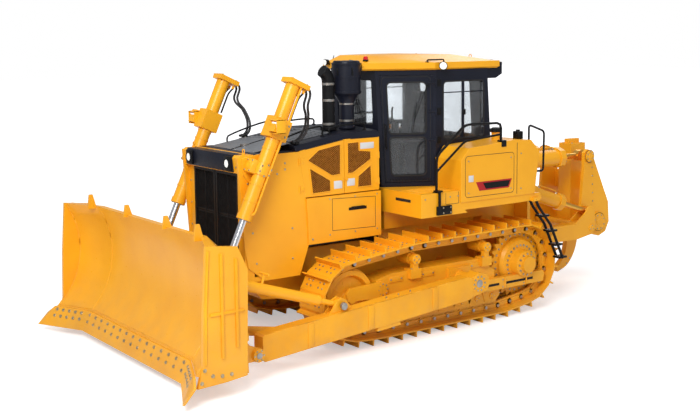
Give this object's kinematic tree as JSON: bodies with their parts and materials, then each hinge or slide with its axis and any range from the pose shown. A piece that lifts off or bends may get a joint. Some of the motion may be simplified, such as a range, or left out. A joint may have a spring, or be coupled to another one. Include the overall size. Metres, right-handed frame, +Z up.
{
  "type": "tracked bulldozer",
  "caption": "Tracked bulldozer with a hollow enclosed cab, a semi-U blade on push arms raised by cylinders, opening doors, and a parallelogram ripper with one shank.",
  "frame": {"origin": "on the ground, at the middle of the footprint of the whole machine", "axes": "+X forward towards the blade, +Y to the operator's left, +Z up"},
  "size_m": [8.856, 4.36, 3.8053],
  "materials": {
    "paint": "satin yellow paint",
    "dark_paint": "dark blue-grey paint",
    "black_paint": "black paint",
    "cast_iron": "worn bare steel",
    "chrome": "polished rod",
    "rubber": "hose rubber",
    "glass": "tinted glass",
    "cushion": "seat cover"
  },
  "bodies": {
    "tractor": {"left_track": "cast_iron", "right_track": "cast_iron", "left_track_frame": "paint", "right_track_frame": "paint", "left_idler": "paint", "right_idler": "paint", "left_sprocket": "paint", "right_sprocket": "paint", "main_frame": "paint", "radiator_guard": "paint", "hood": "dark_paint", "engine": "cast_iron", "exhaust_pipe": "black_paint", "air_precleaner": "dark_paint", "cab": "dark_paint", "cab_roof": "paint", "windscreen": "glass", "rear_window": "glass", "left_side_window": "glass", "right_side_window": "glass", "operator_seat": "cushion", "left_fender": "paint", "right_fender": "paint", "fuel_tank": "paint", "hydraulic_tank": "paint", "left_handrail": "black_paint", "right_handrail": "black_paint", "left_lift_hoses": "rubber", "right_lift_hoses": "rubber", "ripper_bracket": "paint"},
    "blade_frame": {"blade": "paint", "cutting_edge": "cast_iron", "left_push_arm": "paint", "right_push_arm": "paint", "left_brace": "paint", "right_tilt_cylinder": "paint"},
    "left_lift_cylinder": {"left_lift_barrel": "paint"},
    "left_lift_piston": {"left_lift_rod": "chrome"},
    "right_lift_cylinder": {"right_lift_barrel": "paint"},
    "right_lift_piston": {"right_lift_rod": "chrome"},
    "ripper_arms": {"ripper_lower_frame": "paint"},
    "ripper_heel": {"ripper_hinge_shaft": "paint"},
    "ripper_beam": {"ripper_carriage": "paint", "ripper_shank": "paint"},
    "ripper_pitch_cylinders": {"ripper_pitch_barrels": "paint"},
    "ripper_pitch_pistons": {"left_ripper_pitch_rod": "chrome", "right_ripper_pitch_rod": "chrome"},
    "ripper_lift_cylinders": {"ripper_lift_barrels": "paint"},
    "ripper_lift_pistons": {"left_ripper_lift_rod": "chrome", "right_ripper_lift_rod": "chrome"},
    "left_grille": {"left_grille_door": "black_paint"},
    "left_front_side_door": {"left_front_engine_door": "paint"},
    "left_rear_side_door": {"left_rear_engine_door": "paint"},
    "left_entry_door": {"left_cab_door": "dark_paint", "left_door_glass": "glass"},
    "right_grille": {"right_grille_door": "black_paint"},
    "right_front_side_door": {"right_front_engine_door": "paint"},
    "right_rear_side_door": {"right_rear_engine_door": "paint"},
    "right_entry_door": {"right_cab_door": "dark_paint", "right_door_glass": "glass"}
  },
  "joints": [
    {"name": "blade_lift", "type": "hinge", "parent": "tractor", "child": "blade_frame", "pos_m": [-0.413, 0, 0.68], "axis": [0, 1, 0], "range_deg": [-14.5, 8.8]},
    {"name": "left_lift_cylinder_swing", "type": "hinge", "parent": "tractor", "child": "left_lift_cylinder", "pos_m": [2.57, 0.889, 2.42], "axis": [0, 1, 0], "range_deg": [-13.5, 8]},
    {"name": "left_lift_rod_slide", "type": "slide", "parent": "left_lift_cylinder", "child": "left_lift_piston", "axis": [0.4191, 0, -0.9079], "range_m": [-0.88, 0.54]},
    {"name": "right_lift_cylinder_swing", "type": "hinge", "parent": "tractor", "child": "right_lift_cylinder", "pos_m": [2.57, -0.889, 2.42], "axis": [0, 1, 0], "range_deg": [-13.5, 8]},
    {"name": "right_lift_rod_slide", "type": "slide", "parent": "right_lift_cylinder", "child": "right_lift_piston", "axis": [0.4191, 0, -0.9079], "range_m": [-0.88, 0.54]},
    {"name": "ripper_lift", "type": "hinge", "parent": "tractor", "child": "ripper_arms", "pos_m": [-2.463, 0, 0.94], "axis": [0, 1, 0], "range_deg": [-32, 18]},
    {"name": "ripper_heel_level", "type": "hinge", "parent": "ripper_arms", "child": "ripper_heel", "pos_m": [-3.793, 0, 0.945], "axis": [0, 1, 0], "range_deg": [-18.5, 32.5]},
    {"name": "ripper_pitch", "type": "hinge", "parent": "ripper_heel", "child": "ripper_beam", "pos_m": [-3.793, 0, 0.945], "axis": [0, 1, 0], "range_deg": [-18, 6]},
    {"name": "ripper_pitch_cylinder_swing", "type": "hinge", "parent": "tractor", "child": "ripper_pitch_cylinders", "pos_m": [-2.568, 0, 2.085], "axis": [0, 1, 0], "range_deg": [-32.5, 18.5]},
    {"name": "ripper_pitch_rod_slide", "type": "slide", "parent": "ripper_pitch_cylinders", "child": "ripper_pitch_pistons", "axis": [-1, 0, 0.0038], "range_m": [-0.13, 0.37]},
    {"name": "ripper_lift_cylinder_swing", "type": "hinge", "parent": "tractor", "child": "ripper_lift_cylinders", "pos_m": [-2.463, 0, 1.64], "axis": [0, 1, 0], "range_deg": [-26, 15]},
    {"name": "ripper_lift_rod_slide", "type": "slide", "parent": "ripper_lift_cylinders", "child": "ripper_lift_pistons", "axis": [-0.9483, 0, -0.3173], "range_m": [-0.21, 0.37]},
    {"name": "left_grille_hinge", "type": "hinge", "parent": "tractor", "child": "left_grille", "pos_m": [2.747, 0.58, 1.18], "axis": [0, 0, 1], "range_deg": [0, 90]},
    {"name": "left_front_side_door_hinge", "type": "hinge", "parent": "tractor", "child": "left_front_side_door", "pos_m": [1.925, 0.762, 1.98], "axis": [0, 0, -1], "range_deg": [0, 90]},
    {"name": "left_rear_side_door_hinge", "type": "hinge", "parent": "tractor", "child": "left_rear_side_door", "pos_m": [0.595, 0.762, 1.98], "axis": [0, 0, 1], "range_deg": [0, 90]},
    {"name": "left_entry_door_hinge", "type": "hinge", "parent": "tractor", "child": "left_entry_door", "pos_m": [-0.263, 0.95, 2.035], "axis": [0, 0, 1], "range_deg": [0, 70]},
    {"name": "right_grille_hinge", "type": "hinge", "parent": "tractor", "child": "right_grille", "pos_m": [2.747, -0.58, 1.18], "axis": [0, 0, -1], "range_deg": [0, 90]},
    {"name": "right_front_side_door_hinge", "type": "hinge", "parent": "tractor", "child": "right_front_side_door", "pos_m": [1.925, -0.762, 1.98], "axis": [0, 0, 1], "range_deg": [0, 90]},
    {"name": "right_rear_side_door_hinge", "type": "hinge", "parent": "tractor", "child": "right_rear_side_door", "pos_m": [0.595, -0.762, 1.98], "axis": [0, 0, -1], "range_deg": [0, 90]},
    {"name": "right_entry_door_hinge", "type": "hinge", "parent": "tractor", "child": "right_entry_door", "pos_m": [-0.263, -0.95, 2.035], "axis": [0, 0, -1], "range_deg": [0, 70]}
  ],
  "couplings": [
    {"joint": "left_lift_cylinder_swing", "follows": "blade_lift", "ratio": 0.8812},
    {"joint": "left_lift_rod_slide", "follows": "blade_lift", "m_per_rad": 3.4243},
    {"joint": "right_lift_cylinder_swing", "follows": "blade_lift", "ratio": 0.8812},
    {"joint": "right_lift_rod_slide", "follows": "blade_lift", "m_per_rad": 3.4243},
    {"joint": "ripper_heel_level", "follows": "ripper_lift", "ratio": -1},
    {"joint": "ripper_pitch_cylinder_swing", "follows": "ripper_lift", "ratio": 1},
    {"joint": "ripper_pitch_rod_slide", "follows": "ripper_pitch", "m_per_rad": -1.1257},
    {"joint": "ripper_lift_cylinder_swing", "follows": "ripper_lift", "ratio": 0.7988},
    {"joint": "ripper_lift_rod_slide", "follows": "ripper_lift", "m_per_rad": -0.6439}
  ]
}
